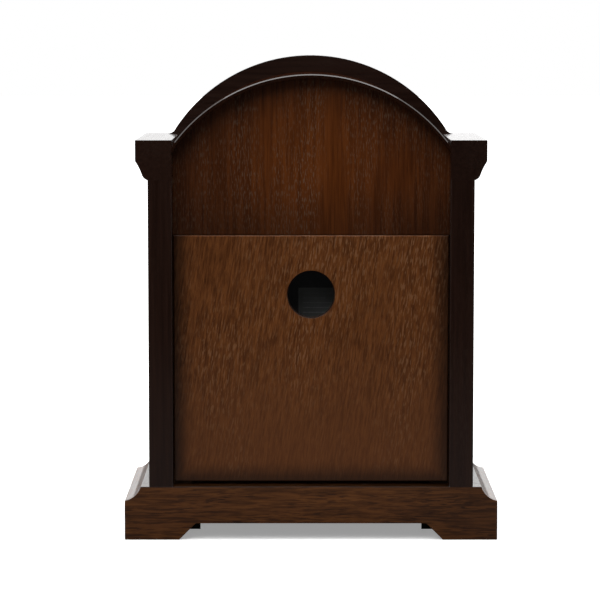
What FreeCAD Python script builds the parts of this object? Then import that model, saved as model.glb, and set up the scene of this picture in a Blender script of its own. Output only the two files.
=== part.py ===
"""Mantel clock: a broken-arch wooden case with a glazed front door, a lift-out back panel and a
battery quartz movement.  Millimetres, +Z up.  The front faces -Y.  The origin lies on the floor,
under the middle of the plinth."""
import FreeCAD, Part
import math
import os
from collections import namedtuple

Vector = FreeCAD.Vector

# ---------------------------------------------------------------- driving dimensions
# Case
case_width = 217.0
case_depth = 123.5
side_thickness = 16.0
shoulder_top = 268.0
arris = 0.6                      # eased edges of boards

# Plinth
plinth_height = 36.0
plinth_overhang = 16.5
plinth_board = 18.0
plinth_ledge = 5.7               # flat between the case side and the cove
cove_height = 9.5
cove_hollow = 2.0                # how far the cove dips below its chord
foot_width = 36.5
foot_rise = 11.2                 # height of the cut-out between two feet
glue_block_leg = 32.2
glue_block_clear = 4.0           # height of the glue blocks above the floor
base_thickness = 12.0

# Shoulder moulding
shoulder_height = 26.5
shoulder_overhang = 8.2
shoulder_fillet = 13.8
shoulder_slope = (4.4, 8.8)      # how far the hollow steps back and down
slope_hollow = 0.3
shoulder_bead_round = 0.7        # bulge of the bead under the hollow

# Crown: the arched front board and its moulding
crown_rise = 55.0                # above the shoulder top
crown_reach = 4.7                # how far the arch lands outside the case's inner face
crown_foot_flare = 2.6
crown_thickness = 14.0
crown_fillet = 8.0
crown_moulding_width = 16.0
crown_cavetto = 5.5              # how far the crown's hollow steps back
cavetto_hollow = 0.9

# Bent top
top_thickness = 2.7
top_rise = 47.15
top_drop = 3.6                   # foot of the bent top below the shoulder top
top_arris = 0.7

# Back
panel_recess = 11.0
panel_thickness = 5.0
panel_step = 1.0                 # the upper board lies this much deeper than the panel
panel_drop = 64.0                # top of the panel below the shoulder's top
panel_gap = 0.5
panel_foot_gap = 1.9
finger_hole_radius = 15.5
finger_hole_drop = 39.6          # middle of the hole below the panel's top

# Battens, blocks and magnets
batten = 12.0
magnet_radius = 5.0
magnet_length = 4.0
strike_radius = 4.5
strike_thickness = 1.0

# Door
door_gap = 1.0
door_foot_gap = 1.5
door_thickness = 14.0
door_frame = 16.0
door_shoulder_drop = 6.5         # door shoulder below the shoulder moulding
crown_band = 34.0                # outer arch to door arch
rebate_width = 4.0
rebate_depth = 6.0
glass_thickness = 2.0
glass_clearance = 0.5

# Hinges
knuckle_radius = 1.8
pin_radius = 0.85
hinge_length = 24.0
hinge_leaf_width = 10.0
hinge_leaf = 0.8
hinge_inset = 34.0               # hinge middle from the door's foot and from its shoulder
running_clearance = 0.06

# Dial
dial_board_thickness = 5.0
dial_depth = 31.5                # front of the case to the front of the dial board
dial_plate_thickness = 1.0
dial_plate_margin = 5.0
ring_margin = 5.5                # glass edge to chapter ring
ring_foot_margin = 10.5          # glass foot and glass shoulder to chapter ring, at least
ring_width = 23.0
ring_thickness = 0.8
casting_thickness = 1.2
boss_radius = 19.0
boss_to_ring = 32.8              # middle of the boss above the top of the chapter ring
ray_count = 20

# Hands
minute_hand_gap = 10.0           # tip to the chapter ring's outer edge
hour_hand_gap = 5.0              # tip to the chapter ring's inner edge
hand_thickness = 0.6
minute_hand_angle = 60.0         # ten past ten, clockwise from twelve
hour_hand_angle = 305.0

# Movement
movement_half_width = 62.0
movement_below = 44.0            # below the hand shaft
movement_above = 54.0
movement_depth = 34.0
front_shell_depth = 12.0
shell_wall = 2.0
shell_corner = 5.0
arbor_radius = 1.5
arbor_tip_radius = 1.2
pipe_radius = 2.5
bushing_radius = 4.0
bushing_flange = 6.0
set_knob_radius = 7.0
battery_radius = 7.1
battery_length = 49.5
control_radius = 7.5
label_left = 8.5
label_width = 45.0
label_top = 31.0                 # above the hand shaft
label_height = 23.5
label_thickness = 0.15

# Wheel train: tooth numbers and modules
train_module = 0.4
pivot_radius = 0.6
centre_teeth = 64
third_pinion_teeth, third_teeth = 8, 60
seconds_pinion_teeth, seconds_teeth = 8, 60
step_pinion_teeth, step_teeth = 10, 60
rotor_teeth = 12
cannon_teeth, minute_teeth = 16, 48
minute_pinion_teeth, hour_teeth = 14, 56
rotor_magnet_radius = 3.2

# ---------------------------------------------------------------- derived places
plinth_half = case_width / 2 + plinth_overhang
plinth_depth = case_depth + plinth_overhang
back = plinth_depth / 2
front = back - case_depth
plinth_front_y = -plinth_depth / 2
case_half = case_width / 2
inner_half = case_half - side_thickness
shoulder_foot = shoulder_top - shoulder_height

Arch = namedtuple("Arch", "centre radius")


def arch_over(half_chord, foot, rise):
    """The circle whose arch springs from +-half_chord at height foot and rises by rise."""
    radius = (half_chord ** 2 + rise ** 2) / (2 * rise)
    return Arch(foot + rise - radius, radius)


def half_at(arch, height):
    """Half-width of the arch at a height."""
    return math.sqrt(arch.radius ** 2 - (height - arch.centre) ** 2)


def height_at(arch, x):
    """Height of the arch's upper side at x."""
    return arch.centre + math.sqrt(arch.radius ** 2 - x ** 2)


def apex(arch):
    return arch.centre + arch.radius


def inset(arch, distance):
    return Arch(arch.centre, arch.radius - distance)


crown = arch_over(inner_half + crown_reach, shoulder_top, crown_rise)
bent_top = arch_over(inner_half, shoulder_top - top_drop, top_rise)
bent_top_inside = inset(bent_top, top_thickness)

door_half = inner_half - door_gap
door_foot = plinth_height + door_foot_gap
door_shoulder = shoulder_foot - door_shoulder_drop
door_arch = inset(crown, crown_band)
door_back = front + door_thickness
glass_half = door_half - door_frame
glass_foot = door_foot + door_frame
glass_shoulder = door_shoulder - door_frame
glass_arch = inset(door_arch, door_frame)

dial_board_front = front + dial_depth
dial_board_back = dial_board_front + dial_board_thickness
dial_front = dial_board_front - dial_plate_thickness
ring_radius = min(glass_half - ring_margin, (glass_shoulder - glass_foot) / 2 - ring_foot_margin)
shaft_height = glass_foot + ring_foot_margin + ring_radius
ring_front = dial_front - ring_thickness

panel_back = back - panel_recess
panel_front = panel_back - panel_thickness
upper_back = panel_back - panel_step
upper_front = upper_back - panel_thickness
panel_foot = plinth_height + panel_foot_gap
panel_top = shoulder_top - panel_drop
finger_hole_height = panel_top - finger_hole_drop

shell_front = dial_board_back
shell_split = shell_front + front_shell_depth
shell_back = shell_front + movement_depth

hinge_x = inner_half - door_gap / 2
hinge_y = front - knuckle_radius
hinge_heights = (door_foot + hinge_inset, door_shoulder - hinge_inset)

nodes = {}


# ---------------------------------------------------------------- shape helpers
def xz(y):
    return lambda u, v: Vector(u, y, v)


def xy(z):
    return lambda u, v: Vector(u, v, z)


def yz(x):
    return lambda u, v: Vector(x, u, v)


def outline(plane, start, *moves):
    """Closed wire in a plane.  A move is the end of a line, or a point on an arc and its end."""
    edges = []
    here = plane(*start)
    for move in moves + (start,):
        if isinstance(move[0], tuple):
            through, end = plane(*move[0]), plane(*move[1])
            edges.append(Part.Arc(here, through, end).toShape())
        else:
            end = plane(*move)
            if end.distanceToPoint(here) > 1e-7:
                edges.append(Part.LineSegment(here, end).toShape())
        here = end
    return Part.Wire(edges)


def prism(plane, way, *path):
    """The outline's face, drawn out along the vector way."""
    return Part.Face(outline(plane, *path)).extrude(Vector(*way))


def box(x, y, z):
    return Part.makeBox(x[1] - x[0], y[1] - y[0], z[1] - z[0], Vector(x[0], y[0], z[0]))


def rod_x(y, z, radius, low, high):
    return Part.makeCylinder(radius, high - low, Vector(low, y, z), Vector(1, 0, 0))


def rod_y(x, z, radius, low, high):
    return Part.makeCylinder(radius, high - low, Vector(x, low, z), Vector(0, 1, 0))


def rod_z(x, y, radius, low, high):
    return Part.makeCylinder(radius, high - low, Vector(x, y, low), Vector(0, 0, 1))


def turned_y(x, z, *profile):
    """Solid of revolution about the Y line through (x, z); the profile lists (radius, y)."""
    face = Part.Face(outline(lambda r, y: Vector(x + r, y, z), *profile))
    return face.revolve(Vector(x, 0, z), Vector(0, 1, 0), 360)


def fuse(*shapes):
    whole = shapes[0].multiFuse(list(shapes[1:])) if len(shapes) > 1 else shapes[0]
    return whole.removeSplitter()


def mirrored(shape):
    return shape.mirror(Vector(0, 0, 0), Vector(1, 0, 0))


def bowed(start, end, hollow):
    """The point in the middle of an arc from start to end that dips by hollow to the right."""
    (x0, z0), (x1, z1) = start, end
    length = math.hypot(x1 - x0, z1 - z0)
    return (
        (x0 + x1) / 2 + (z1 - z0) / length * hollow,
        (z0 + z1) / 2 - (x1 - x0) / length * hollow,
    )


def edges_where(shape, test):
    return [e for e in shape.Edges if test(e.BoundBox)]


def flat_at(low, high, value):
    return abs(low - value) < 1e-4 and abs(high - value) < 1e-4


def add(name, *solids):
    """Keeps the solids as one node."""
    solids = [s for shape in solids for s in shape.Solids]
    nodes[name] = solids[0] if len(solids) == 1 else Part.makeCompound(solids)


# ---------------------------------------------------------------- plinth
def foot_gap(half, plane, way):
    """The space between two bracket feet under a board of half-length half."""
    toe = half - foot_width
    return prism(
        plane, way,
        (-toe, 0), (-toe + foot_rise, foot_rise), (toe - foot_rise, foot_rise), (toe, 0),
    )


def cove(plane, way, outer, ledge):
    """The hollow taken off the top outer edge, from outer inwards to ledge."""
    foot = plinth_height - cove_height
    lip = plinth_overhang                      # cutter margin outside the board
    side = 1 if outer > ledge else -1
    middle = bowed((ledge, plinth_height), (outer, foot), side * cove_hollow)
    return prism(
        plane, way,
        (ledge, plinth_height), (middle, (outer, foot)),
        (outer + side * lip, foot), (outer + side * lip, plinth_height + lip),
        (ledge, plinth_height + lip),
    )


def make_plinth():
    inner = plinth_half - plinth_board
    inner_y = plinth_depth / 2 - plinth_board
    frame = box((-plinth_half, plinth_half), (plinth_front_y, back), (0, plinth_height))
    frame = frame.cut(box((-inner, inner), (-inner_y, inner_y), (0, plinth_height)))
    ledge = case_half + plinth_ledge
    side_cove = cove(xz(plinth_front_y), (0, plinth_depth, 0), plinth_half, ledge)
    front_cove = cove(
        yz(-plinth_half), (2 * plinth_half, 0, 0), plinth_front_y, front - plinth_ledge
    )
    gaps = [
        foot_gap(plinth_half, xz(plinth_front_y), (0, plinth_depth, 0)),
        foot_gap(plinth_depth / 2, yz(-plinth_half), (2 * plinth_half, 0, 0)),
    ]
    frame = frame.cut([side_cove, mirrored(side_cove), front_cove] + gaps)
    corner, corner_y = (plinth_half, plinth_depth / 2)
    reach = corner_y - plinth_board
    core = plinth_half - plinth_board

    def board(*plan):
        return frame.common(prism(xy(0), (0, 0, plinth_height), *plan))

    add("plinth_front", board(
        (-corner, -corner_y), (corner, -corner_y), (core, -reach), (-core, -reach)))
    add("plinth_back", board(
        (-corner, corner_y), (corner, corner_y), (core, reach), (-core, reach)))
    right = board((corner, -corner_y), (corner, corner_y), (core, reach), (core, -reach))
    add("plinth_right", right)
    add("plinth_left", mirrored(right))
    block = prism(
        xy(glue_block_clear), (0, 0, plinth_height - base_thickness - glue_block_clear),
        (core, reach), (core - glue_block_leg, reach), (core, reach - glue_block_leg),
    )
    front_block = block.mirror(Vector(0, 0, 0), Vector(0, 1, 0))
    add("glue_blocks", block, mirrored(block), front_block, mirrored(front_block))


# ---------------------------------------------------------------- case
base_screw_length = 28.0
base_screw_radius = 1.75
base_screw_head = 3.5
base_screw_ys = (-42.0, -16.0, 16.0, 42.0)


def wood_screw(tip, head, radius, head_radius, slot=0.5):
    """Countersunk slotted screw from tip to the flat of its head."""
    way = head - tip
    length = way.Length
    way.normalize()
    shank = Part.makeCylinder(radius, length, tip, way)
    sink = head_radius - radius
    cone = Part.makeCone(radius, head_radius, sink, head - way * sink, way)
    screw = shank.fuse(cone).removeSplitter()
    across = way.cross(Vector(0, 0, 1)) if abs(way.z) < 0.9 else Vector(1, 0, 0)
    cutter = Part.makeBox(4 * head_radius, slot, 2 * slot, Vector(-2 * head_radius, -slot / 2, -slot))
    cutter.Placement = FreeCAD.Placement(
        head, FreeCAD.Rotation(across, way.cross(across), way, "ZXY"))
    return screw.cut(cutter)


def screw_hole(tip, head, radius, head_radius):
    """What a screw without its slot takes out of the wood."""
    way = head - tip
    length = way.Length
    way.normalize()
    sink = head_radius - radius
    shank = Part.makeCylinder(radius, length, tip, way)
    return shank.fuse(Part.makeCone(radius, head_radius, sink, head - way * sink, way))


def base_screw_ends():
    head_z = plinth_height - base_thickness
    x = case_half - side_thickness / 2
    return [
        (Vector(side * x, y, head_z + base_screw_length), Vector(side * x, y, head_z))
        for side in (-1, 1) for y in base_screw_ys
    ]


def make_base():
    inner = plinth_half - plinth_board
    inner_y = plinth_depth / 2 - plinth_board
    board = box((-inner, inner), (-inner_y, inner_y), (plinth_height - base_thickness, plinth_height))
    sizes = (base_screw_radius, base_screw_head)
    add("base_board", board.cut([screw_hole(*ends, *sizes) for ends in base_screw_ends()]))
    add("base_screws", *[wood_screw(*ends, *sizes) for ends in base_screw_ends()])


def hinge_recess(side_x, way, z):
    """The mortise for one hinge leaf, from the face at side_x into the wood."""
    low, high = sorted((side_x, side_x + way * hinge_leaf))
    return box((low, high), (front, front + hinge_leaf_width),
               (z - hinge_length / 2, z + hinge_length / 2))


def make_sides():
    side = box((inner_half, case_half), (front, back), (plinth_height, shoulder_foot))
    eased = edges_where(side, lambda b: b.ZLength > 1 and flat_at(b.YMin, b.YMax, back))
    side = side.makeChamfer(arris, eased)
    sizes = (base_screw_radius, base_screw_head)
    left = mirrored(side).cut([screw_hole(*ends, *sizes) for ends in base_screw_ends()])
    mortises = [hinge_recess(inner_half, 1, z) for z in hinge_heights]
    screws = [screw_hole(*ends, *brass_sizes) for ends in case_hinge_screw_ends()]
    right = side.cut([screw_hole(*ends, *sizes) for ends in base_screw_ends()])
    right = right.cut(mortises + screws)
    add("side_left", left)
    add("side_right", right)


def shoulder_profile(plane, way, inside, face):
    """Section of the shoulder moulding from its inside face to its fillet, facing face's way."""
    side = 1 if face > inside else -1
    outer = face + side * shoulder_overhang
    back_step, down_step = shoulder_slope
    fillet_foot = (outer, shoulder_top - shoulder_fillet)
    bead_top = (outer - side * back_step, fillet_foot[1] - down_step)
    bead_foot = (face, shoulder_foot)
    hollow = bowed(fillet_foot, bead_top, side * slope_hollow)
    bead = bowed(bead_top, bead_foot, -side * shoulder_bead_round)
    return prism(
        plane, way,
        (inside, shoulder_foot), (inside, shoulder_top), (outer, shoulder_top),
        fillet_foot, (hollow, bead_top), (bead, bead_foot),
    )


def make_shoulders():
    depth = back - front + shoulder_overhang
    along = shoulder_profile(xz(front - shoulder_overhang), (0, depth, 0), inner_half, case_half)
    across = shoulder_profile(yz(0), (plinth_half, 0, 0), back, front)
    right = along.common(across)
    add("shoulder_right", right)
    add("shoulder_left", mirrored(right))


def crown_outline(plane, way):
    """The crown board's outer arch standing on the shoulders, down to the door's shoulder."""
    foot = half_at(crown, shoulder_top)
    flare_top = shoulder_top + 1.6 * crown_foot_flare
    neck = half_at(crown, flare_top)
    toe = foot + crown_foot_flare
    low = door_shoulder + door_gap
    left_bow = bowed((-toe, shoulder_top), (-neck, flare_top), crown_foot_flare / 3)
    right_bow = (-left_bow[0], left_bow[1])
    return prism(
        plane, way,
        (-inner_half, low), (-inner_half, shoulder_top), (-toe, shoulder_top),
        (left_bow, (-neck, flare_top)), ((0, apex(crown)), (neck, flare_top)),
        (right_bow, (toe, shoulder_top)), (inner_half, shoulder_top), (inner_half, low),
    )


def make_crown():
    board = crown_outline(xz(front), (0, crown_thickness, 0))
    door_space = inset(door_arch, -door_gap)
    opening = rod_y(0, door_space.centre, door_space.radius, front, front + crown_thickness)
    add("crown_board", board.cut(opening))

    outer, proud = crown.radius, front - shoulder_overhang
    fillet_foot = outer - crown_fillet
    thin = proud + crown_cavetto
    inner = outer - crown_moulding_width
    middle = bowed((fillet_foot, proud), (inner, thin), cavetto_hollow)
    reach = outer + 2 * crown_foot_flare          # the foot flare is cut by the outline below
    ring = turned_y(
        0, crown.centre,
        (inner, front), (inner, thin), (middle, (fillet_foot, proud)), (reach, proud),
        (reach, front),
    )
    add("crown_moulding", ring.common(crown_outline(xz(proud), (0, shoulder_overhang, 0))))


def make_bent_top():
    y = (front + crown_thickness, back)
    foot, inside_foot = (height_at(a, inner_half) for a in (bent_top, bent_top_inside))
    skin = prism(
        xz(y[0]), (0, y[1] - y[0], 0),
        (-inner_half, inside_foot), (-inner_half, foot),
        ((0, apex(bent_top)), (inner_half, foot)), (inner_half, inside_foot),
        ((0, apex(bent_top_inside)), (-inner_half, inside_foot)),
    )
    eased = edges_where(skin, lambda b: flat_at(b.YMin, b.YMax, back) and b.ZMax > foot + 1)
    outer_edge = max(eased, key=lambda e: e.BoundBox.ZMax)
    add("arch_top", skin.makeChamfer(top_arris, [outer_edge]))


def make_back():
    low = panel_top + panel_gap
    corner = height_at(bent_top_inside, inner_half)
    upper = prism(
        xz(upper_front), (0, panel_thickness, 0),
        (-inner_half, low), (-inner_half, corner),
        ((0, apex(bent_top_inside)), (inner_half, corner)), (inner_half, low),
    )
    add("upper_back_board", upper)

    half = inner_half - panel_gap
    panel = box((-half, half), (panel_front, panel_back), (panel_foot, panel_top))
    hole = rod_y(0, finger_hole_height, finger_hole_radius, panel_front, panel_back)
    panel = panel.cut(hole)
    eased = edges_where(panel, lambda b: flat_at(b.YMin, b.YMax, panel_back))
    panel = panel.makeChamfer(arris, eased)
    strikes = [
        rod_y(x, z, strike_radius, panel_front, panel_front + strike_thickness)
        for x, z in magnet_places()
    ]
    add("back_panel", panel.cut(strikes))
    add("panel_strikes", *strikes)


# ---------------------------------------------------------------- battens and magnets
magnet_inset = 22.0               # magnets from the panel's foot and top
stop_block_height = 24.0
stop_block_depth = 14.0
stop_clearance = 0.2
catch_inset = 5.5                 # catch plate's middle from the door's free edge


def magnet_places():
    x = inner_half - batten / 2
    heights = (panel_foot + magnet_inset, panel_top - magnet_inset)
    return [(side * x, z) for side in (-1, 1) for z in heights]


def stop_block_y():
    low = door_back + stop_clearance
    return low, low + stop_block_depth


def make_battens():
    inside, outside = inner_half - batten, inner_half
    dial_batten = box((inside, outside), (dial_board_back, dial_board_back + batten),
                      (plinth_height, door_shoulder))
    back_batten = box((inside, outside), (upper_front - batten, upper_front),
                      (plinth_height, shoulder_foot))
    dial_battens = [
        b.cut([screw_hole(*ends, *brass_sizes) for ends in dial_screw_ends()])
        for b in (dial_batten, mirrored(dial_batten))
    ]
    face = panel_front                      # magnets stand out of the batten to meet the panel
    magnets = [rod_y(x, z, magnet_radius, face - magnet_length, face) for x, z in magnet_places()]
    back_battens = [b.cut(magnets) for b in (back_batten, mirrored(back_batten))]
    low, high = stop_block_y()
    block = box((-outside, -inside), (low, high),
                (shaft_height - stop_block_height / 2, shaft_height + stop_block_height / 2))
    door_magnet = rod_y(catch_inset - door_half, shaft_height, magnet_radius, low, low + magnet_length)
    add("case_battens", *dial_battens, *back_battens, block.cut(door_magnet))
    add("closure_magnets", *magnets, door_magnet)


# ---------------------------------------------------------------- brass screws
brass_sizes = (0.9, 1.7)
brass_length = 9.0
dial_screw_length = 14.0
dial_screw_inset = 24.0
leaf_screw_pitch = 7.5


def leaf_screw_ends(face_x, way):
    """Three screws in each leaf, from the face at face_x into the wood along way."""
    y = front + hinge_leaf_width / 2
    return [
        (Vector(face_x + way * brass_length, y, z + i * leaf_screw_pitch),
         Vector(face_x, y, z + i * leaf_screw_pitch))
        for z in hinge_heights for i in (-1, 0, 1)
    ]


def case_hinge_screw_ends():
    return leaf_screw_ends(inner_half, 1)


def door_hinge_screw_ends():
    return leaf_screw_ends(door_half, -1)


def dial_screw_ends():
    x = inner_half - batten / 2
    heights = (plinth_height + dial_screw_inset, door_shoulder - dial_screw_inset)
    return [
        (Vector(side * x, dial_board_front + dial_screw_length, z),
         Vector(side * x, dial_board_front, z))
        for side in (-1, 1) for z in heights
    ]


def make_screws():
    case_ends = case_hinge_screw_ends() + dial_screw_ends()
    add("brass_screws", *[wood_screw(*ends, *brass_sizes) for ends in case_ends])
    add("door_hinge_screws", *[wood_screw(*ends, *brass_sizes) for ends in door_hinge_screw_ends()])


# ---------------------------------------------------------------- hinges
knuckle_gap = 0.2
knuckles = 3
finial_radius = 1.7


def knuckle_spans(z):
    """Low and high end of each knuckle of the hinge at height z, from the bottom up."""
    pitch = hinge_length / knuckles
    low = z - hinge_length / 2
    return [
        (low + i * pitch + knuckle_gap / 2, low + (i + 1) * pitch - knuckle_gap / 2)
        for i in range(knuckles)
    ]


def leaf(z, x_low, mine, bore, screws):
    """One hinge leaf with the knuckles numbered in mine."""
    x = (x_low, x_low + hinge_leaf)
    plate = box(x, (front, front + hinge_leaf_width), (z - hinge_length / 2, z + hinge_length / 2))
    parts = [plate]
    for i in mine:
        low, high = knuckle_spans(z)[i]
        parts.append(rod_z(hinge_x, hinge_y, knuckle_radius, low, high))
        parts.append(box(x, (hinge_y, front), (low, high)))
    hole = rod_z(hinge_x, hinge_y, bore, z - hinge_length, z + hinge_length)
    return fuse(*parts).cut([hole] + screws)


def make_hinges():
    case_screws = [screw_hole(*ends, *brass_sizes) for ends in case_hinge_screw_ends()]
    door_screws = [screw_hole(*ends, *brass_sizes) for ends in door_hinge_screw_ends()]
    loose = pin_radius + running_clearance
    add("hinge_case_leaves", *[leaf(z, inner_half, (0, 2), pin_radius, case_screws) for z in hinge_heights])
    add("hinge_door_leaves", *[
        leaf(z, door_half - hinge_leaf, (1,), loose, door_screws) for z in hinge_heights])
    pins = []
    for z in hinge_heights:
        low, high = z - hinge_length / 2, z + hinge_length / 2
        shaft = rod_z(hinge_x, hinge_y, pin_radius, low - finial_radius / 2, high + finial_radius / 2)
        balls = []
        for end, way in ((low, -1), (high, 1)):
            ball = Part.makeSphere(finial_radius, Vector(hinge_x, hinge_y, end + way * finial_radius / 2))
            outside = rod_z(hinge_x, hinge_y, 2 * finial_radius, *sorted((end, end + way * 3 * finial_radius)))
            balls.append(ball.common(outside))
        pins.append(fuse(shaft, *balls))
    add("hinge_pins", *pins)


# ---------------------------------------------------------------- door
def break_arch(y, depth, half, foot, shoulder, arch):
    """Prism with upright sides, square shoulders and an arch between them."""
    neck = half_at(arch, shoulder)
    return prism(
        xz(y), (0, depth, 0),
        (-half, foot), (-half, shoulder), (-neck, shoulder),
        ((0, apex(arch)), (neck, shoulder)), (half, shoulder), (half, foot),
    )


def glazing(y, depth, grow):
    """The glass opening, grown by grow on every side."""
    return break_arch(y, depth, glass_half + grow, glass_foot - grow, glass_shoulder + grow,
                      inset(glass_arch, -grow))


knob_length = 13.5
knob_radius = 5.0
knob_rose = 5.5
knob_neck = 2.2
knob_spindle = 1.5
catch_plate_thickness = 0.8
catch_plate_radius = 4.5


def make_door():
    frame = break_arch(front, door_thickness, door_half, door_foot, door_shoulder, door_arch)
    frame = frame.cut(glazing(front, door_thickness, 0))
    rebate_front = door_back - rebate_depth
    frame = frame.cut(glazing(rebate_front, rebate_depth, rebate_width))

    stile_x = -(door_half - door_frame / 2)
    spindle = rod_y(stile_x, shaft_height, knob_spindle, front, front + 0.7 * door_thickness)
    plate = rod_y(catch_inset - door_half, shaft_height, catch_plate_radius,
                  door_back - catch_plate_thickness, door_back)
    mortises = [hinge_recess(door_half, -1, z) for z in hinge_heights]
    screws = [screw_hole(*ends, *brass_sizes) for ends in door_hinge_screw_ends()]
    frame = frame.cut([spindle, plate] + mortises + screws)

    y, high = (front, door_back), apex(door_arch)
    add("door_arch_head", frame.common(box((-door_half, door_half), y, (glass_shoulder, high))))
    add("door_stile_left", frame.common(box((-door_half, -glass_half), y, (door_foot, glass_shoulder))))
    add("door_stile_right", frame.common(box((glass_half, door_half), y, (door_foot, glass_shoulder))))
    add("door_bottom_rail", frame.common(box((-glass_half, glass_half), y, (door_foot, glass_foot))))

    grow = rebate_width - glass_clearance
    add("door_glass", glazing(rebate_front, glass_thickness, grow))
    bead_front = rebate_front + glass_thickness
    bead = glazing(bead_front, door_back - bead_front, rebate_width)
    add("glass_bead", bead.cut(glazing(bead_front, door_back - bead_front, 0)))
    add("catch_plate", plate)

    tip = front - knob_length
    ball = front - knob_length + knob_radius * 0.8
    bulge = (knob_radius, ball)
    knob = turned_y(
        stile_x, shaft_height,
        (0, front), (0, tip), ((knob_radius * 0.72, tip + 1.0), bulge),
        ((knob_radius * 0.75, ball + 3.0), (knob_neck, ball + 4.2)),
        (knob_neck, front - 2.2), (knob_rose - 1.2, front - 1.4), (knob_rose, front - 0.9),
        (knob_rose, front),
    )
    add("door_knob", knob.fuse(spindle).removeSplitter())


# ---------------------------------------------------------------- dial
dial_board_radius_margin = 18.0   # the dial board's arch inside the crown's outer arch
dial_board_gap = 0.3
bushing_hole_gap = 0.2


def make_dial():
    half = inner_half - dial_board_gap
    arch = inset(crown, dial_board_radius_margin)
    spring = height_at(arch, half)
    low = plinth_height + dial_board_gap
    board = prism(
        xz(dial_board_front), (0, dial_board_thickness, 0),
        (-half, low), (-half, spring), ((0, apex(arch)), (half, spring)), (half, low),
    )
    hole = rod_y(0, shaft_height, bushing_radius + bushing_hole_gap, dial_front, dial_board_back)
    screws = [screw_hole(*ends, *brass_sizes) for ends in dial_screw_ends()]
    add("dial_board", board.cut([hole] + screws))
    plate = glazing(dial_front, dial_plate_thickness, dial_plate_margin)
    add("dial_plate", plate.cut(hole))

    ring = turned_y(
        0, shaft_height,
        (ring_radius - ring_width, dial_front), (ring_radius - ring_width, ring_front + 0.3),
        (ring_radius - ring_width + 0.6, ring_front), (ring_radius - 0.6, ring_front),
        (ring_radius, ring_front + 0.3), (ring_radius, dial_front),
    )
    add("chapter_ring", ring)
    add("dial_castings", *corner_castings(), *arch_castings())


casting_margin = 4.0
casting_ring_gap = 3.5


def corner_castings():
    """Pierced gilt corner pieces between the chapter ring and the corners of the dial."""
    half = glass_half - casting_margin
    clear = ring_radius + casting_ring_gap
    y = dial_front - casting_thickness
    castings = []
    for edge in (glass_foot + casting_margin, glass_shoulder - casting_margin):
        rise = edge - shaft_height
        way = 1 if rise > 0 else -1
        reach_x = math.sqrt(clear ** 2 - min(abs(rise), clear - 4.0) ** 2)
        reach_z = math.sqrt(clear ** 2 - min(half, clear - 4.0) ** 2)
        bulge = clear * math.sqrt(0.5)
        plate = prism(
            xz(y), (0, casting_thickness, 0),
            (half, shaft_height + way * abs(rise)), (reach_x, shaft_height + way * abs(rise)),
            (reach_x, shaft_height + way * math.sqrt(clear ** 2 - reach_x ** 2)),
            ((bulge, shaft_height + way * bulge), (math.sqrt(clear ** 2 - reach_z ** 2), shaft_height + way * reach_z)),
            (half, shaft_height + way * reach_z),
        )
        eye = 3.0
        for radius, share in ((0.55 * eye, 0.16), (eye, 0.5), (0.8 * eye, 0.84)):
            angle = math.radians(12 + 66 * share)
            distance = clear + 2.2 * eye
            x, z = distance * math.cos(angle), shaft_height + way * distance * math.sin(angle)
            inside = x + radius + 1 < half and abs(z - shaft_height) + radius + 1 < abs(rise)
            if inside:
                plate = plate.cut(rod_y(x, z, radius, y, dial_front))
        corner_x, corner_z = half - 9.0, shaft_height + way * (abs(rise) - 9.0)
        rose = Part.makeSphere(5.5, Vector(corner_x, y + 4.2, corner_z))
        rose = rose.common(rod_y(corner_x, corner_z, 5.5, y - 3.0, y + 0.5))
        plate = plate.fuse(rose).removeSplitter()
        castings += [plate, mirrored(plate)]
    return castings


def arch_castings():
    """Round boss with rays in the arch of the dial."""
    centre = shaft_height + ring_radius + boss_to_ring
    y = dial_front - casting_thickness
    boss = turned_y(
        0, centre,
        (0, dial_front), (0, y - 2.4), ((boss_radius * 0.45, y - 1.9), (boss_radius * 0.78, y - 0.2)),
        (boss_radius * 0.82, y - 0.2), (boss_radius * 0.88, y - 0.9), (boss_radius, y - 0.3),
        (boss_radius, dial_front),
    )
    rays = []
    for i in range(ray_count):
        angle = 2 * math.pi * i / ray_count
        away = Vector(math.sin(angle), 0, math.cos(angle))
        side = Vector(math.cos(angle), 0, -math.sin(angle))
        start = Vector(0, dial_front, centre) + away * (boss_radius + 1.2)
        length = 11.0 if i % 2 else 7.0
        corners = [start - side * 1.9, start + side * 1.9, start + away * length]
        face = Part.Face(Part.makePolygon(corners + corners[:1]))
        rays.append(face.extrude(Vector(0, -casting_thickness, 0)))
    return [boss] + rays


# ---------------------------------------------------------------- hands
hour_hub_y = ring_front - 4.5
minute_hub_y = hour_hub_y - 2.2
hand_nut_length = 1.8


def spade_hand(y, length, stem, head, hub, bore):
    """Flat spade hand pointing at twelve: stem, two round lobes, a point and a hub."""
    z = shaft_height
    lobe = head / 2
    neck = z + length - 3.2 * head
    tip = z + length
    parts = [
        rod_y(0, z, hub, y, y + hand_thickness),
        prism(xz(y), (0, hand_thickness, 0),
              (-stem, z - 2.2 * hub), (-stem / 2, neck + lobe), (stem / 2, neck + lobe),
              (stem, z - 2.2 * hub)),
        prism(xz(y), (0, hand_thickness, 0),
              (-head, neck + 0.6 * head), ((-0.42 * head, neck + 1.9 * head), (0, tip)),
              ((0.42 * head, neck + 1.9 * head), (head, neck + 0.6 * head))),
        rod_y(-lobe, neck + 0.6 * head, lobe, y, y + hand_thickness),
        rod_y(lobe, neck + 0.6 * head, lobe, y, y + hand_thickness),
        rod_y(0, neck - 0.9 * head, 0.42 * head, y, y + hand_thickness),
    ]
    return fuse(*parts).cut(rod_y(0, z, bore, y, y + hand_thickness))


def turned_hand(shape, degrees):
    shape.rotate(Vector(0, 0, shaft_height), Vector(0, 1, 0), degrees)
    return shape


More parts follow.
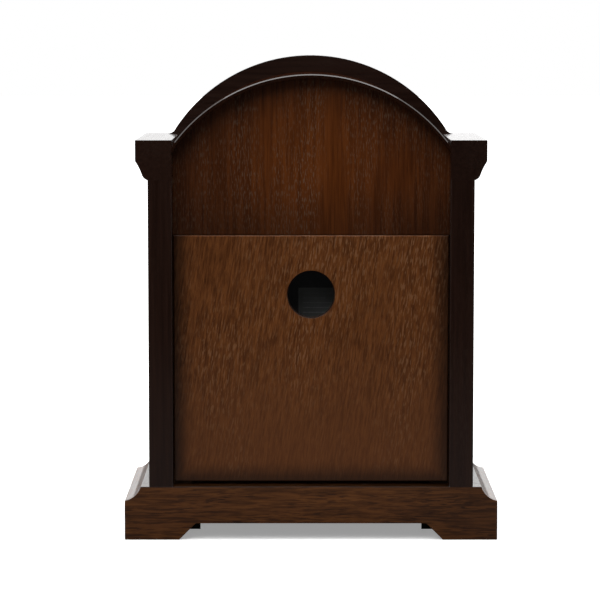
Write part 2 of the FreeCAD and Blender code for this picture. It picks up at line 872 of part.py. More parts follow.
def make_hands():
    hour = spade_hand(hour_hub_y, ring_radius - ring_width - hour_hand_gap, 1.5, 5.2, 5.2, pipe_radius)
    minute = spade_hand(minute_hub_y, ring_radius - minute_hand_gap, 1.2, 3.6, 4.2, arbor_tip_radius)
    add("hour_hand", turned_hand(hour, hour_hand_angle))
    add("minute_hand", turned_hand(minute, minute_hand_angle))
    top = minute_hub_y - hand_nut_length
    nut = turned_y(
        0, shaft_height,
        (0, minute_hub_y), (0, top), ((2.0, top + 0.5), (2.6, minute_hub_y - 0.5)),
        (2.6, minute_hub_y),
    )
    add("hand_nut", nut.cut(rod_y(0, shaft_height, arbor_tip_radius, top + 0.8, minute_hub_y)))


# ---------------------------------------------------------------- wheel train
Wheel = namedtuple("Wheel", "x z teeth module phase")

wheel_shape = (0.85, 1.20, 0.29, 0.20, 0.09)     # addendum, dedendum, root, pitch and tip half-width
pinion_shape = (0.75, 1.35, 0.20, 0.17, 0.10)


def pitch_radius(wheel):
    return wheel.module * wheel.teeth / 2


def next_to(wheel, angle, teeth, apart=None):
    """A wheel that meshes with another one; angle is the way from its axis to the new axis."""
    angle = math.radians(angle)
    module = wheel.module
    apart = apart or module * (wheel.teeth + teeth) / 2
    x, z = wheel.x + apart * math.cos(angle), wheel.z + apart * math.sin(angle)
    share = wheel.teeth * (angle - wheel.phase) / (2 * math.pi)
    phase = angle + math.pi - 2 * math.pi / teeth * (0.5 - share)
    return Wheel(x, z, teeth, module, phase)


def toothed(wheel, y, bore=0.0):
    """Toothed disc between the two y values."""
    addendum, dedendum, root_share, pitch_share, tip_share = (
        pinion_shape if wheel.teeth < 20 else wheel_shape)
    middle = pitch_radius(wheel)
    tip, root = middle + addendum * wheel.module, middle - dedendum * wheel.module
    step = 2 * math.pi / wheel.teeth
    points = []
    for i in range(wheel.teeth):
        at = wheel.phase + i * step
        flank = ((root, -root_share), (middle, -pitch_share), (tip, -tip_share),
                 (tip, tip_share), (middle, pitch_share), (root, root_share))
        for radius, share in flank:
            angle = at + share * step
            points.append((wheel.x + radius * math.cos(angle), wheel.z + radius * math.sin(angle)))
    solid = prism(xz(y[0]), (0, y[1] - y[0], 0), *points)
    return solid.cut(rod_y(wheel.x, wheel.z, bore, *y)) if bore else solid


centre_wheel = Wheel(0, shaft_height, centre_teeth, train_module, 0)
third_pinion = next_to(centre_wheel, 30, third_pinion_teeth)
third_wheel = Wheel(third_pinion.x, third_pinion.z, third_teeth, train_module, 0)
seconds_pinion = next_to(third_wheel, -30, seconds_pinion_teeth)
seconds_wheel = Wheel(seconds_pinion.x, seconds_pinion.z, seconds_teeth, train_module, 0)
step_pinion = next_to(seconds_wheel, 60, step_pinion_teeth)
step_wheel = Wheel(step_pinion.x, step_pinion.z, step_teeth, train_module, 0)
rotor_pinion = next_to(step_wheel, -10, rotor_teeth)

cannon_pinion = Wheel(0, shaft_height, cannon_teeth, train_module, 0)
minute_wheel = next_to(cannon_pinion, 225, minute_teeth)
motion_apart = train_module * (cannon_teeth + minute_teeth) / 2
motion_module = 2 * motion_apart / (minute_pinion_teeth + hour_teeth)
minute_pinion = Wheel(minute_wheel.x, minute_wheel.z, minute_pinion_teeth, motion_module, 0)
hour_wheel = next_to(minute_pinion, 45, hour_teeth)

# where each layer of the train lies, counted from the inside of the front shell
wall_inside = shell_front + shell_wall
hour_layer = (wall_inside + 0.7, wall_inside + 1.9)
motion_layer = (wall_inside + 2.8, wall_inside + 4.0)
front_plate = (wall_inside + 5.5, wall_inside + 7.0)
centre_layer = (front_plate[1] + 1.0, front_plate[1] + 2.2)
third_layer = (centre_layer[1] + 1.2, centre_layer[1] + 2.2)
seconds_layer = (third_layer[1] + 1.2, third_layer[1] + 2.2)
step_layer = (seconds_layer[1] + 1.2, seconds_layer[1] + 2.2)
rear_plate = (step_layer[1] + 1.5, step_layer[1] + 3.0)
train_axes = (third_wheel, seconds_wheel, step_wheel, rotor_pinion)

plate_x = (-24.0, rotor_pinion.x + 11.0)
plate_z = (shaft_height - 22.0, shaft_height + 34.0)
stator_half = 10.5
pillar_radius = 1.8
pillar_to_stator = 7.0            # middle of the pillar beside the coil to the stator's edge
pillars_at = (
    (plate_x[0] + 3, plate_z[0] + 3),
    (rotor_pinion.x - stator_half - pillar_to_stator, plate_z[0] + 3),
    (plate_x[0] + 3, plate_z[1] - 3), (plate_x[1] - 3, plate_z[1] - 3),
)


def on_arbor(wheel, *parts):
    """The wheel's parts on an arbor with a pivot in each plate."""
    body = rod_y(wheel.x, wheel.z, pivot_radius, front_plate[0], rear_plate[1])
    return fuse(body, *parts)


def make_train():
    add("third_wheel", on_arbor(
        third_wheel, toothed(third_wheel, third_layer),
        toothed(third_pinion, (centre_layer[0] - 0.3, third_layer[0]))))
    add("seconds_wheel", on_arbor(
        seconds_wheel, toothed(seconds_wheel, seconds_layer),
        toothed(seconds_pinion, (third_layer[0] - 0.3, seconds_layer[0]))))
    add("step_wheel", on_arbor(
        step_wheel, toothed(step_wheel, step_layer),
        toothed(step_pinion, (seconds_layer[0] - 0.3, step_layer[0]))))
    magnet = rod_y(rotor_pinion.x, rotor_pinion.z, rotor_magnet_radius, centre_layer[0], third_layer[1])
    add("rotor", on_arbor(
        rotor_pinion, magnet,
        toothed(rotor_pinion, (step_layer[0] - 0.3, step_layer[1] + 0.3))))

    stud = rod_y(minute_wheel.x, minute_wheel.z, pivot_radius, wall_inside, front_plate[0])
    bore = pivot_radius + running_clearance
    add("minute_wheel", fuse(
        toothed(minute_wheel, motion_layer),
        toothed(minute_pinion, (hour_layer[0] - 0.2, motion_layer[0]))
    ).cut(rod_y(minute_wheel.x, minute_wheel.z, bore, wall_inside, front_plate[0])))

    pipe_front = hour_hub_y
    pipe = rod_y(0, shaft_height, pipe_radius, pipe_front, hour_layer[1])
    hole = rod_y(0, shaft_height, arbor_radius + running_clearance, pipe_front, hour_layer[1])
    add("hour_wheel", fuse(toothed(hour_wheel, hour_layer), pipe).cut(hole))

    tip = minute_hub_y - hand_nut_length + 0.8
    arbor = fuse(
        rod_y(0, shaft_height, arbor_tip_radius, tip, minute_hub_y + hand_thickness),
        rod_y(0, shaft_height, arbor_radius, minute_hub_y + hand_thickness, knob_y()[0]),
        toothed(cannon_pinion, (motion_layer[0] - 0.3, motion_layer[1] + 0.3)),
        toothed(centre_wheel, centre_layer),
    )
    add("minute_arbor", arbor)

    loose = [rod_y(w.x, w.z, pivot_radius + running_clearance, front_plate[0], rear_plate[1])
             for w in train_axes]
    clear = rod_y(0, shaft_height, arbor_radius + running_clearance, front_plate[0], rear_plate[1])
    plates = [box(plate_x, y, plate_z).cut(loose + [clear]) for y in (front_plate, rear_plate)]
    pillars = [rod_y(x, z, pillar_radius, front_plate[1], rear_plate[0]) for x, z in pillars_at]
    holders = [rod_y(x, z, 1.0, front_plate[1], stator_y()[0]) for x, z in stator_studs()]
    add("train_plates", fuse(plates[0], stud, *holders), plates[1], *pillars)


# ---------------------------------------------------------------- step motor
stator_thickness = 1.0
stator_leg = 4.0
coil_drop = 25.0                 # coil axis below the rotor
coil_radius = 3.8
core_radius = 1.6


def stator_y():
    front_face = third_layer[0] - 1.1
    return front_face, front_face + stator_thickness


def stator_studs():
    """Where two studs of the front plate carry the stator."""
    reach = stator_half - stator_leg / 2
    return [(rotor_pinion.x + side * reach, rotor_pinion.z - 10.0) for side in (-1, 1)]


def make_motor():
    x, z = rotor_pinion.x, rotor_pinion.z
    y = stator_y()
    outer = box((x - stator_half, x + stator_half), y, (z - coil_drop - 2.5, z + 6.0))
    gap = box((x - stator_half + stator_leg, x + stator_half - stator_leg), y,
              (z - coil_drop - 2.5, z - 6.0))
    hole = rod_y(x, z, rotor_magnet_radius + 0.6, *y)
    add("stator", outer.cut([gap, hole]))
    middle = (y[0] + y[1]) / 2 + stator_thickness / 2 + core_radius
    coil_z = z - coil_drop
    core = rod_x(middle, coil_z, core_radius, x - stator_half, x + stator_half)
    span = stator_half - stator_leg
    winding = rod_x(middle, coil_z, coil_radius, x - span + 1.0, x + span - 1.0)
    flanges = [
        rod_x(middle, coil_z, coil_radius + 0.6, low, low + 1.0)
        for low in (x - span, x + span - 1.0)
    ]
    add("coil", core, *[part.cut(core) for part in [winding] + flanges])


# ---------------------------------------------------------------- movement case
bay_half = 56.0
bay_depth = 19.0
bay_low, bay_high = -42.0, -26.0
bay_wall = 1.5
volume_place = (-50.0, 42.0)
switch_place = (-50.0, 16.0)
switch_travel = 3.5
switch_half = 2.6
speaker_place = (38.0, 28.0)
speaker_radius = 18.0
speaker_depth = 5.5
board_thickness = 1.6
board_posts = ((-54.0, -18.0), (-54.0, 47.0), (12.0, 46.0), (10.0, -18.0))


def rounded_block(y, grow, x_half=movement_half_width):
    """The movement's outline with round corners, shrunk by grow, between two y values."""
    low, high = shaft_height - movement_below + grow, shaft_height + movement_above - grow
    half = x_half - grow
    block = box((-half, half), y, (low, high))
    uprights = edges_where(block, lambda b: b.YLength > 0.5 * (y[1] - y[0]))
    return block.makeFillet(shell_corner - grow, uprights)


def make_shells():
    bushing_hole = rod_y(0, shaft_height, bushing_flange, shell_front, wall_inside)
    outer = rounded_block((shell_front, shell_split), 0)
    inner = rounded_block((wall_inside, shell_split), shell_wall)
    posts = [rod_y(x, z, pillar_radius, wall_inside, front_plate[0]) for x, z in pillars_at]
    add("movement_front_shell", fuse(outer.cut([inner, bushing_hole]), *posts))

    y = (shell_split, shell_back)
    floor = shell_back - shell_wall
    outer = rounded_block(y, 0)
    inner = rounded_block((shell_split, floor), shell_wall)
    bay = box((-bay_half, bay_half), (shell_back - bay_depth, shell_back),
              (shaft_height + bay_low, shaft_height + bay_high))
    housing = box((-bay_half - bay_wall, bay_half + bay_wall),
                  (shell_back - bay_depth - bay_wall, shell_back),
                  (shaft_height + bay_low - bay_wall, shaft_height + bay_high + bay_wall))
    shell = outer.cut(inner).fuse(housing.common(rounded_block(y, 0))).cut(bay)
    arbor_hole = rod_y(0, shaft_height, arbor_radius + running_clearance, floor, shell_back)
    x, z = volume_place
    volume_hole = rod_y(x, shaft_height + z, 2.0 + running_clearance, floor, shell_back)
    x, z = switch_place
    slot_half = switch_half + switch_travel + 0.4
    slot = box((x - 1.9, x + 1.9), (floor, shell_back),
               (shaft_height + z - slot_half, shaft_height + z + slot_half))
    x, z = speaker_place
    grille = []
    for i in range(-3, 4):
        half = math.sqrt((speaker_radius - 3.0) ** 2 - (4.2 * i) ** 2)
        grille.append(box((x - half, x + half), (floor, shell_back),
                          (shaft_height + z + 4.2 * i - 0.9, shaft_height + z + 4.2 * i + 0.9)))
    shell = shell.cut([arbor_hole, volume_hole, slot] + grille)
    posts = [rod_y(x, shaft_height + z, pillar_radius, board_y()[1], floor) for x, z in board_posts]
    add("movement_rear_shell", fuse(shell, *posts))

    add("movement_label", box(
        (label_left - label_width, label_left), (shell_back, shell_back + label_thickness),
        (shaft_height + label_top - label_height, shaft_height + label_top)))


def make_bushing():
    end = ring_front - 3.6
    tube = rod_y(0, shaft_height, bushing_radius, end, shell_front)
    flange = rod_y(0, shaft_height, bushing_flange, shell_front, wall_inside)
    bore = rod_y(0, shaft_height, pipe_radius + running_clearance, end, wall_inside)
    across = 5.6
    corners = [
        (across / math.cos(math.pi / 6) * math.cos(math.radians(60 * i)),
         shaft_height + across / math.cos(math.pi / 6) * math.sin(math.radians(60 * i)))
        for i in range(6)
    ]
    nut = prism(xz(dial_front - 2.6), (0, 2.6, 0), *corners)
    nut = nut.cut(rod_y(0, shaft_height, bushing_radius, dial_front - 2.6, dial_front))
    add("hand_bushing", fuse(tube, flange).cut(bore), nut)


def knob_y():
    """Front and back of the time-setting knob."""
    return shell_back + 0.6, shell_back + 9.5


def ribbed_knob(x, z, radius, y, ribs):
    """Round knob with shallow grip flutes round its rim."""
    knob = rod_y(x, z, radius, *y)
    flutes = []
    for i in range(ribs):
        angle = 2 * math.pi * i / ribs
        flutes.append(rod_y(x + (radius + 0.25) * math.cos(angle), z + (radius + 0.25) * math.sin(angle),
                            0.65, *y))
    return knob.cut(flutes)


def make_controls():
    y = knob_y()
    knob = ribbed_knob(0, shaft_height, set_knob_radius, (y[0] + 1.5, y[1]), 20)
    collar = rod_y(0, shaft_height, 3.0, y[0], y[0] + 1.5)
    add("set_knob", fuse(knob, collar))

    x, z = volume_place[0], shaft_height + volume_place[1]
    face = shell_back + 0.4
    dial = ribbed_knob(x, z, control_radius, (face, face + 4.5), 24)
    pointer = box((x - 0.5, x + 0.5), (face + 3.7, face + 4.5), (z + 1.5, z + control_radius - 1.2))
    shaft = rod_y(x, z, 2.0, board_y()[1] + 0.3, face)
    add("volume_knob", fuse(dial.cut(pointer), shaft))

    x, z = switch_place[0], shaft_height + switch_place[1]
    slider = fuse(
        box((x - 1.6, x + 1.6), (board_y()[1] + 0.3, shell_back + 2.4), (z - switch_half, z + switch_half)),
        box((x - 3.4, x + 3.4), (board_y()[1] + 0.3, shell_back - shell_wall - 0.3),
            (z - switch_half - 1.6, z + switch_half + 1.6)),
    )
    add("melody_switch", slider)


def board_y():
    """Front and back of the circuit board."""
    front_face = rear_plate[1] + 0.8
    return front_face, front_face + board_thickness


def make_electrics():
    y = board_y()
    board = box((-58.0, 16.0), y, (shaft_height - 22.0, shaft_height + 50.0))
    board = board.cut(rod_y(0, shaft_height, arbor_radius + 1.5, *y))
    chip = box((-34.0, -20.0), (y[0] - 0.6, y[0]), (shaft_height + 4.0, shaft_height + 14.0))
    crystal = rod_x(y[0] - 1.5, shaft_height - 12.0, 1.5, -32.0, -24.0)
    add("circuit_board", board, chip, crystal)

    x, z = speaker_place[0], shaft_height + speaker_place[1]
    rim = shell_back - shell_wall
    basket = turned_y(
        x, z,
        (speaker_radius - 2.5, rim - 1.2), (speaker_radius - 2.5, rim), (speaker_radius, rim),
        (speaker_radius, rim - 1.6), (10.5, rim - speaker_depth), (8.6, rim - speaker_depth),
        (8.6, rim - speaker_depth + 1.0), (10.0, rim - speaker_depth + 1.0),
    )
    magnet = rod_y(x, z, 8.6, rim - speaker_depth, rim - speaker_depth + 2.2)
    cone = turned_y(
        x, z,
        (0, rim - 1.3), ((4.0, rim - 1.5), (6.5, rim - 2.6)), (speaker_radius - 2.5, rim - 0.6),
        (speaker_radius - 2.5, rim - 1.0), (6.5, rim - 3.0), (0, rim - 1.8),
    )
    add("speaker", basket, magnet, cone)

    z = shaft_height + (bay_low + bay_high) / 2
    cell_y = shell_back - bay_depth + battery_radius + 0.4
    cells = []
    for side in (-1, 1):
        start = -(battery_length + 1.3) if side < 0 else 0.3
        end = start + battery_length - 1.2
        cell = turned_x(cell_y, z, start, end)
        cells.append(cell)
    add("batteries", *cells)
    tabs = []
    plate_half = 5.0
    for x in (-bay_half, bay_half - 0.4):
        tabs.append(box((x, x + 0.4), (cell_y - plate_half, cell_y + plate_half),
                        (z - plate_half, z + plate_half)))
    dish = Part.makeCone(4.0, 1.5, bay_half - 0.4 - (0.3 + battery_length), Vector(bay_half - 0.4, cell_y, z),
                         Vector(-1, 0, 0))
    spring = Part.makeCone(4.2, 2.4, bay_half - 0.4 - (battery_length + 1.3),
                           Vector(-bay_half + 0.4, cell_y, z), Vector(1, 0, 0))
    add("battery_contacts", fuse(tabs[0], spring), fuse(tabs[1], dish))


def turned_x(y, z, start, end):
    """A round cell from start to end along X with its pip on the far end."""
    can = rod_x(y, z, battery_radius, start, end)
    rims = [e for e in can.Edges if e.BoundBox.XLength < 1e-6]
    can = can.makeFillet(0.8, rims)
    return can.fuse(rod_x(y, z, 2.7, end, end + 1.2)).removeSplitter()


# ---------------------------------------------------------------- assembly
def main():
    make_plinth()
    make_base()
    make_sides()
    make_shoulders()
    make_crown()
    make_bent_top()
    make_back()
    make_battens()
    make_screws()
    make_hinges()
    make_door()
    make_dial()
    make_hands()
    make_train()
    make_motor()
    make_shells()
    make_bushing()
    make_controls()
    make_electrics()
    os.makedirs("parts", exist_ok=True)
    for name, shape in nodes.items():
        shape.exportStep(os.path.join("parts", name + ".step"))


main()
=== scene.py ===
"""Looks of the mantel clock: stained and lacquered wood, brass, a silvered dial and a black movement."""
import bpy
import math
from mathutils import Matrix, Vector


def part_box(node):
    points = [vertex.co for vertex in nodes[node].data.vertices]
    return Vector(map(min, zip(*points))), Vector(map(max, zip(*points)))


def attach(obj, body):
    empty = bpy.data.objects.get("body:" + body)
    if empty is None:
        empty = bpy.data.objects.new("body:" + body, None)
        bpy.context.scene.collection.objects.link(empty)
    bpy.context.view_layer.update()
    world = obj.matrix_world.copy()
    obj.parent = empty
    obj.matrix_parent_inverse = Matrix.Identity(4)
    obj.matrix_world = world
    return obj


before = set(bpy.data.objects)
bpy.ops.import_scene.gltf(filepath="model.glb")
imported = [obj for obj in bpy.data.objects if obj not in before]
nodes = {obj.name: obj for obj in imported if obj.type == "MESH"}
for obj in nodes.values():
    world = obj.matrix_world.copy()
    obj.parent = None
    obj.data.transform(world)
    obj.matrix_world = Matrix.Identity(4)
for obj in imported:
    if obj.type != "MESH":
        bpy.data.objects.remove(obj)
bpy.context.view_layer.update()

MM = 0.001
HOLE_RADIUS = 15.5 * MM
HOLE_HEIGHT = 164.4 * MM        # the finger hole's middle, above the floor
PLINTH_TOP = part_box("plinth_back")[1][2]
EASING = 0.35 * MM              # how far sharp edges of the joinery are sanded off
SURROUND = 12.0                 # half the side of the floor


# ---------------------------------------------------------------- shader helpers
class Shader:
    """A material with short calls for its nodes."""

    def __init__(self, name):
        self.material = bpy.data.materials.new(name)
        self.material.use_nodes = True
        self.tree = self.material.node_tree
        self.surface = self.tree.nodes["Principled BSDF"]
        self.place = self.node("TexCoord").outputs["Object"]

    def node(self, kind, settings=None, **inputs):
        node = self.tree.nodes.new("ShaderNode" + kind)
        for name, value in (settings or {}).items():
            setattr(node, name, value)
        for name, value in inputs.items():
            self.feed(node.inputs[name.replace("_", " ")], value)
        return node

    def feed(self, socket, value):
        if isinstance(value, bpy.types.NodeSocket):
            self.tree.links.new(value, socket)
        else:
            socket.default_value = value

    def set(self, **inputs):
        for name, value in inputs.items():
            self.feed(self.surface.inputs[name.replace("_", " ")], value)

    def along(self, stretch, turn=(0, 0, 0), shift=(0, 0, 0)):
        """The place, turned, then drawn out by stretch along each axis."""
        node = self.node("Mapping", {"vector_type": "TEXTURE"}, Vector=self.place)
        node.inputs["Scale"].default_value = stretch
        node.inputs["Rotation"].default_value = turn
        node.inputs["Location"].default_value = shift
        return node.outputs["Vector"]

    def noise(self, where, scale, detail, roughness, distortion=0.0):
        node = self.node(
            "TexNoise", Vector=where, Scale=scale, Detail=detail, Roughness=roughness,
            Distortion=distortion,
        )
        return node.outputs["Fac"]

    def spread(self, value, low, high, to_low=0.0, to_high=1.0, soft=False):
        """The value carried from low..high to to_low..to_high and held at the ends."""
        kind = "SMOOTHSTEP" if soft else "LINEAR"
        node = self.node("MapRange", {"interpolation_type": kind}, Value=value)
        limits = (("From Min", low), ("From Max", high), ("To Min", to_low), ("To Max", to_high))
        for name, number in limits:
            node.inputs[name].default_value = number
        return node.outputs["Result"]

    def math(self, operation, a, b=0.0):
        node = self.node("Math", {"operation": operation})
        self.feed(node.inputs[0], a)
        self.feed(node.inputs[1], b)
        return node.outputs["Value"]

    def mix(self, share, a, b):
        """Colour a where share is nought, b where it is one."""
        node = self.node("Mix", {"data_type": "RGBA"})
        self.feed(node.inputs[0], share)
        self.feed(node.inputs[6], a)
        self.feed(node.inputs[7], b)
        return node.outputs[2]

    def distance(self, point):
        node = self.node("VectorMath", {"operation": "DISTANCE"})
        self.feed(node.inputs[0], self.place)
        node.inputs[1].default_value = point
        return node.outputs["Value"]

    def axis(self, name):
        return self.node("SeparateXYZ", Vector=self.place).outputs[name]

    def relief(self, height, depth, strength, under=None):
        node = self.node("Bump", Height=height, Distance=depth, Strength=strength)
        if under is not None:
            self.feed(node.inputs["Normal"], under)
        return node.outputs["Normal"]


def rgba(red, green, blue):
    return (red, green, blue, 1.0)


GRAIN = {"X": (1, 0, 0), "Y": (0, 1, 0), "Z": (0, 0, 1)}


def stretched(axis, length):
    """Scale that draws a pattern out along one axis."""
    return tuple(length if on else 1.0 for on in GRAIN[axis])


def wood(name, dark, light, fleck, axis, turn=0.0, shift=(0, 0, 0), band=14.0, line=260.0,
         line_length=30.0, pore=900.0, pore_length=14.0, pore_share=0.5, flecks=0.5,
         waviness=0.0, contrast=0.12, shares=(0.36, 0.44, 0.20), gloss=0.36, coat=0.7,
         coat_rough=0.1, spec=0.25, relief=1.0, painted_shade=None, dull=None, calm=None):
    """Stained, lacquered wood with its grain along axis, turned by turn about Y.

    band, line, pore: how many per metre of the broad bands, the fine lines and the pores, each
        drawn out along the grain by its length.
    pore_share, flecks: how much of the surface has pores, and how strongly they show.
    contrast, shares: how wide the figure's tones spread, and the parts that the bands, the
        lines and the finest lines have in it.
    gloss, spec, coat, coat_rough: the stain's roughness and shine, and the lacquer's weight and
        roughness.
    The last three arguments are functions of the place, for the painted shade and light that
    darken the colour, how little lacquer there is, and how far the figure shows."""
    s = Shader(name)
    tilt = (0, turn, 0)
    broad = s.noise(s.along(stretched(axis, 7.0), tilt, shift), band, 3.0, 0.5, waviness)
    lines = s.noise(s.along(stretched(axis, line_length), tilt, shift), line, 4.0, 0.6, waviness)
    fine = s.noise(s.along(stretched(axis, 40.0), tilt, shift), line * 4, 2.0, 0.5)
    pores = s.noise(s.along(stretched(axis, pore_length), tilt, shift), pore, 2.0, 0.45, waviness * 0.5)
    elsewhere = tuple(v + 0.37 for v in shift)
    zones = s.noise(s.along(stretched(axis, 5.0), tilt, elsewhere), band * 3.2, 2.0, 0.5)
    low, high = 0.5 - contrast, 0.5 + contrast
    tone = s.math("ADD", s.math("MULTIPLY", s.spread(broad, 0.35, 0.65), shares[0]),
                  s.math("MULTIPLY", s.spread(lines, low, high), shares[1]))
    tone = s.math("ADD", tone, s.math("MULTIPLY", s.spread(fine, low, high), shares[2]))
    if calm is not None:
        shown = calm(s)
        tone = s.math("ADD", 0.5, s.math("MULTIPLY", s.math("SUBTRACT", tone, 0.5), shown))
        flecks = s.math("MULTIPLY", shown, flecks)
    colour = s.mix(tone, rgba(*dark), rgba(*light))
    spots = s.math("MULTIPLY", s.spread(pores, 1.0 - pore_share, 1.0 - pore_share + 0.09),
                   s.spread(zones, 0.38, 0.62))
    colour = s.mix(s.math("MULTIPLY", spots, flecks), colour, rgba(*fleck))
    # painted shade and light: the colour is darkened where the place is taken to lie in shade
    if painted_shade is not None:
        colour = s.mix(painted_shade(s), rgba(0.0, 0.0, 0.0), colour)
    s.set(Base_Color=colour)
    rough = s.spread(lines, 0.3, 0.7, gloss - 0.05, gloss + 0.07)
    if dull is not None:
        raw = dull(s)
        rough = s.math("ADD", rough, s.math("MULTIPLY", raw, 0.6 - gloss))
        coat = s.math("MULTIPLY", s.math("SUBTRACT", 1.0, raw), coat)
    s.set(Roughness=rough)
    s.set(Coat_Weight=coat)
    s.set(Coat_Roughness=coat_rough)
    s.set(Specular_IOR_Level=spec)
    ribs = s.relief(lines, 0.06 * MM * relief, 0.5)
    s.set(Normal=s.relief(spots, -0.05 * MM * relief, 0.6, ribs))
    return s.material


def metal(name, colour, rough, brushed=None, tarnish=0.25):
    """Metal with a little uneven polish.  brushed is the way the brush marks run."""
    s = Shader(name)
    cloud = s.noise(s.place, 60.0, 4.0, 0.6)
    deep = tuple(c * (1 - tarnish) for c in colour)
    s.set(Base_Color=s.mix(s.spread(cloud, 0.35, 0.75), rgba(*colour), rgba(*deep)))
    s.set(Metallic=1.0)
    height = cloud
    if brushed:
        height = s.noise(s.along(stretched(brushed, 60.0)), 2600.0, 2.0, 0.6)
    s.set(Roughness=s.spread(height, 0.3, 0.7, rough * 0.8, rough * 1.25))
    s.set(Normal=s.relief(height, 0.01 * MM, 0.35))
    return s.material


def turned_metal(name, colour, rough, centre):
    """Metal brushed in circles about the dial's middle."""
    s = Shader(name)
    node = s.node("VectorMath", {"operation": "SUBTRACT"})
    s.feed(node.inputs[0], s.place)
    node.inputs[1].default_value = centre
    split = s.node("SeparateXYZ", Vector=node.outputs["Vector"])
    x, z = split.outputs["X"], split.outputs["Z"]
    radius = s.math("SQRT", s.math("ADD", s.math("MULTIPLY", x, x), s.math("MULTIPLY", z, z)))
    ring = s.node("CombineXYZ", X=radius)
    marks = s.noise(ring.outputs["Vector"], 3000.0, 3.0, 0.7)
    cloud = s.noise(s.place, 40.0, 3.0, 0.5)
    deep = tuple(c * 0.86 for c in colour)
    s.set(Base_Color=s.mix(s.spread(cloud, 0.3, 0.7), rgba(*colour), rgba(*deep)))
    s.set(Metallic=1.0)
    s.set(Roughness=s.spread(marks, 0.3, 0.7, rough * 0.85, rough * 1.2))
    s.set(Normal=s.relief(marks, 0.01 * MM, 0.4))
    return s.material


def plastic(name, colour, rough, grain=1800.0, depth=0.03):
    """Moulded plastic with a fine eroded skin."""
    s = Shader(name)
    skin = s.noise(s.place, grain, 2.0, 0.6)
    patch = s.noise(s.place, 35.0, 2.0, 0.5)
    lift = tuple(min(1.0, c * 1.35 + 0.004) for c in colour)
    s.set(Base_Color=s.mix(s.spread(patch, 0.3, 0.7), rgba(*colour), rgba(*lift)))
    s.set(Roughness=s.spread(patch, 0.3, 0.7, rough - 0.05, rough + 0.08))
    s.set(Specular_IOR_Level=0.4)
    s.set(Normal=s.relief(skin, depth * MM, 0.5))
    return s.material


def gilt_casting(name):
    """Cast and gilded brass: matted ground, darker in the hollows."""
    s = Shader(name)
    matting = s.noise(s.place, 1500.0, 3.0, 0.6)
    cell = s.node("TexVoronoi", Vector=s.place, Scale=420.0)
    chased = cell.outputs["Distance"]
    hollow, raised = rgba(0.62, 0.40, 0.12), rgba(0.93, 0.68, 0.28)
    s.set(Base_Color=s.mix(s.spread(chased, 0.1, 0.7), hollow, raised))
    s.set(Metallic=1.0)
    s.set(Roughness=s.spread(matting, 0.3, 0.7, 0.25, 0.42))
    s.set(Normal=s.relief(chased, 0.25 * MM, 0.6, s.relief(matting, 0.03 * MM, 0.5)))
    return s.material


def clear_glass(name):
    """Clear glass with a faint film on it."""
    s = Shader(name)
    film = s.noise(s.place, 12.0, 3.0, 0.6)
    s.set(Base_Color=rgba(0.97, 0.985, 0.98))
    s.set(Transmission_Weight=1.0)
    s.set(IOR=1.45)
    s.set(Roughness=s.spread(film, 0.4, 0.9, 0.0, 0.02))
    return s.material


def wound_copper(name):
    """Enamelled wire, one turn beside the other along X."""
    s = Shader(name)
    wave = s.node("TexWave", {"bands_direction": "X"}, Vector=s.place, Scale=1400.0)
    turns = wave.outputs["Fac"]
    s.set(Base_Color=s.mix(turns, rgba(0.25, 0.07, 0.03), rgba(0.72, 0.27, 0.12)))
    s.set(Metallic=0.9)
    s.set(Roughness=0.32)
    s.set(Normal=s.relief(turns, 0.08 * MM, 0.8))
    return s.material


def circuit(name):
    """Solder resist with tracks that show through it."""
    s = Shader(name)
    upright = s.along((1, 1, 1), (math.pi / 2, 0, 0))
    bricks = s.node("TexBrick", {"offset": 0.5, "squash": 0.7}, Vector=upright, Scale=160.0)
    bricks.inputs["Mortar Size"].default_value = 0.06
    tracks = bricks.outputs["Fac"]
    s.set(Base_Color=s.mix(tracks, rgba(0.008, 0.075, 0.03), rgba(0.02, 0.16, 0.05)))
    s.set(Roughness=0.28)
    s.set(Normal=s.relief(tracks, 0.03 * MM, 0.6))
    return s.material


def cell_jacket(name, x_tip, length):
    """Battery foil: dark can with a copper-coloured band at the positive end."""
    s = Shader(name)
    along = s.math("FRACT", s.math("DIVIDE", s.math("ADD", s.axis("X"), -x_tip), length))
    band = s.spread(along, 0.735, 0.745)
    scuffs = s.noise(s.place, 240.0, 4.0, 0.6)
    s.set(Base_Color=s.mix(band, rgba(0.012, 0.012, 0.014), rgba(0.55, 0.25, 0.08)))
    s.set(Metallic=s.spread(band, 0.0, 1.0, 0.0, 0.8))
    s.set(Roughness=s.spread(scuffs, 0.3, 0.7, 0.25, 0.38))
    return s.material


def ink(name, colour):
    """Printing ink, a little paler where it is worn."""
    s = Shader(name)
    wear = s.noise(s.place, 900.0, 3.0, 0.6)
    pale = tuple(c * 1.5 + 0.01 for c in colour)
    s.set(Base_Color=s.mix(s.spread(wear, 0.45, 0.8), rgba(*colour), rgba(*pale)))
    s.set(Roughness=0.5)
    return s.material


# ---------------------------------------------------------------- finishes of the pieces
def dark_wood(name, axis, **changes):
    """The case's wood, stained nearly black."""
    look = dict(
        dark=(0.0075, 0.0020, 0.0008), light=(0.0200, 0.0062, 0.0026), fleck=(0.026, 0.013, 0.008),
        band=10.0, line=420.0, line_length=30.0, pore=1300.0, pore_length=8.0, flecks=0.35,
        coat=0.6, spec=0.15,
    )
    look.update(changes)
    return wood(name, axis=axis, **look)


def plinth_wood(name, axis, shift):
    """The plinth's open-grained brown wood, with painted shade on its flat top."""
    return wood(
        name, dark=(0.019, 0.0048, 0.0006), light=(0.134, 0.0455, 0.0098), fleck=(0.014, 0.004, 0.0010),
        axis=axis, shift=shift, band=26.0, line=620.0, line_length=12.0, pore=1100.0, pore_length=10.0,
        pore_share=0.48, flecks=0.8, waviness=0.3, contrast=0.078, coat=0.5, spec=0.15,
        painted_shade=ledge_shade_and_end_darkening,
    )


